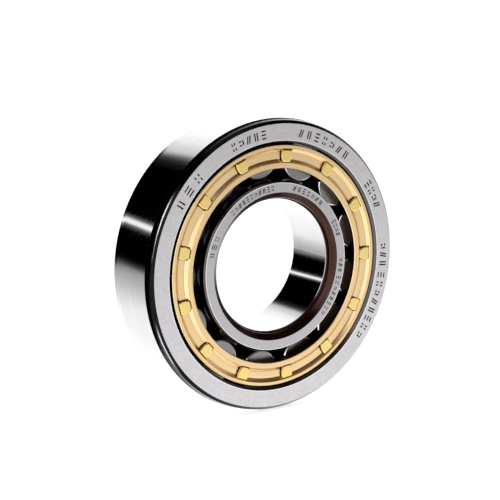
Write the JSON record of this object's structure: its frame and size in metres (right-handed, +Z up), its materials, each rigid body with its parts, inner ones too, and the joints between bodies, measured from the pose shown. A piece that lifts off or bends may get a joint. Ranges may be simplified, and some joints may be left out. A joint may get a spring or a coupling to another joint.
{
  "type": "cylindrical roller bearing",
  "caption": "Single-row cylindrical roller bearing with a flanged outer ring, plain inner ring and a two-piece riveted brass cage, for a rotating shaft.",
  "frame": {"origin": "centre of the bearing, on the axis and midway between the side faces", "axes": "+Y along the bearing's axis away from the marked front side, +Z up, +X to the right as the front is looked at"},
  "size_m": [0.11, 0.027, 0.11],
  "materials": {
    "ring_steel": "ground bearing steel: satin faces, finely ground outside",
    "roller_steel": "ground bearing steel with bright rounded edges",
    "cage_brass": "satin turned brass, brighter on the rivet heads"
  },
  "bodies": {
    "outer_ring": {"outer_ring": "ring_steel"},
    "inner_ring": {"inner_ring": "ring_steel"},
    "cage": {"cage_body": "cage_brass", "cage_cover": "cage_brass"},
    "roller_01": {"roller_01": "roller_steel"},
    "roller_02": {"roller_02": "roller_steel"},
    "roller_03": {"roller_03": "roller_steel"},
    "roller_04": {"roller_04": "roller_steel"},
    "roller_05": {"roller_05": "roller_steel"},
    "roller_06": {"roller_06": "roller_steel"},
    "roller_07": {"roller_07": "roller_steel"},
    "roller_08": {"roller_08": "roller_steel"},
    "roller_09": {"roller_09": "roller_steel"},
    "roller_10": {"roller_10": "roller_steel"},
    "roller_11": {"roller_11": "roller_steel"},
    "roller_12": {"roller_12": "roller_steel"},
    "roller_13": {"roller_13": "roller_steel"}
  },
  "joints": [
    {"name": "inner_ring_spin", "type": "hinge", "parent": "outer_ring", "child": "inner_ring", "pos_m": [0, 0, 0], "axis": [0, 1, 0], "continuous": true},
    {"name": "cage_spin", "type": "hinge", "parent": "outer_ring", "child": "cage", "pos_m": [0, 0, 0], "axis": [0, 1, 0], "continuous": true},
    {"name": "roller_01_spin", "type": "hinge", "parent": "cage", "child": "roller_01", "pos_m": [0.03931, 0, 0.00981], "axis": [0, 1, 0], "continuous": true},
    {"name": "roller_02_spin", "type": "hinge", "parent": "cage", "child": "roller_02", "pos_m": [0.03025, 0, 0.02696], "axis": [0, 1, 0], "continuous": true},
    {"name": "roller_03_spin", "type": "hinge", "parent": "cage", "child": "roller_03", "pos_m": [0.01426, 0, 0.03793], "axis": [0, 1, 0], "continuous": true},
    {"name": "roller_04_spin", "type": "hinge", "parent": "cage", "child": "roller_04", "pos_m": [-0.005, 0, 0.04021], "axis": [0, 1, 0], "continuous": true},
    {"name": "roller_05_spin", "type": "hinge", "parent": "cage", "child": "roller_05", "pos_m": [-0.02312, 0, 0.03328], "axis": [0, 1, 0], "continuous": true},
    {"name": "roller_06_spin", "type": "hinge", "parent": "cage", "child": "roller_06", "pos_m": [-0.03593, 0, 0.01872], "axis": [0, 1, 0], "continuous": true},
    {"name": "roller_07_spin", "type": "hinge", "parent": "cage", "child": "roller_07", "pos_m": [-0.04052, 0, -0.00012], "axis": [0, 1, 0], "continuous": true},
    {"name": "roller_08_spin", "type": "hinge", "parent": "cage", "child": "roller_08", "pos_m": [-0.03582, 0, -0.01894], "axis": [0, 1, 0], "continuous": true},
    {"name": "roller_09_spin", "type": "hinge", "parent": "cage", "child": "roller_09", "pos_m": [-0.02292, 0, -0.03341], "axis": [0, 1, 0], "continuous": true},
    {"name": "roller_10_spin", "type": "hinge", "parent": "cage", "child": "roller_10", "pos_m": [-0.00476, 0, -0.04024], "axis": [0, 1, 0], "continuous": true},
    {"name": "roller_11_spin", "type": "hinge", "parent": "cage", "child": "roller_11", "pos_m": [0.01448, 0, -0.03784], "axis": [0, 1, 0], "continuous": true},
    {"name": "roller_12_spin", "type": "hinge", "parent": "cage", "child": "roller_12", "pos_m": [0.03041, 0, -0.02678], "axis": [0, 1, 0], "continuous": true},
    {"name": "roller_13_spin", "type": "hinge", "parent": "cage", "child": "roller_13", "pos_m": [0.03937, 0, -0.00958], "axis": [0, 1, 0], "continuous": true}
  ],
  "couplings": [
    {"joint": "cage_spin", "follows": "inner_ring_spin", "ratio": 0.40124},
    {"joint": "roller_01_spin", "follows": "inner_ring_spin", "ratio": -2.4325},
    {"joint": "roller_02_spin", "follows": "inner_ring_spin", "ratio": -2.4325},
    {"joint": "roller_03_spin", "follows": "inner_ring_spin", "ratio": -2.4325},
    {"joint": "roller_04_spin", "follows": "inner_ring_spin", "ratio": -2.4325},
    {"joint": "roller_05_spin", "follows": "inner_ring_spin", "ratio": -2.4325},
    {"joint": "roller_06_spin", "follows": "inner_ring_spin", "ratio": -2.4325},
    {"joint": "roller_07_spin", "follows": "inner_ring_spin", "ratio": -2.4325},
    {"joint": "roller_08_spin", "follows": "inner_ring_spin", "ratio": -2.4325},
    {"joint": "roller_09_spin", "follows": "inner_ring_spin", "ratio": -2.4325},
    {"joint": "roller_10_spin", "follows": "inner_ring_spin", "ratio": -2.4325},
    {"joint": "roller_11_spin", "follows": "inner_ring_spin", "ratio": -2.4325},
    {"joint": "roller_12_spin", "follows": "inner_ring_spin", "ratio": -2.4325},
    {"joint": "roller_13_spin", "follows": "inner_ring_spin", "ratio": -2.4325}
  ]
}
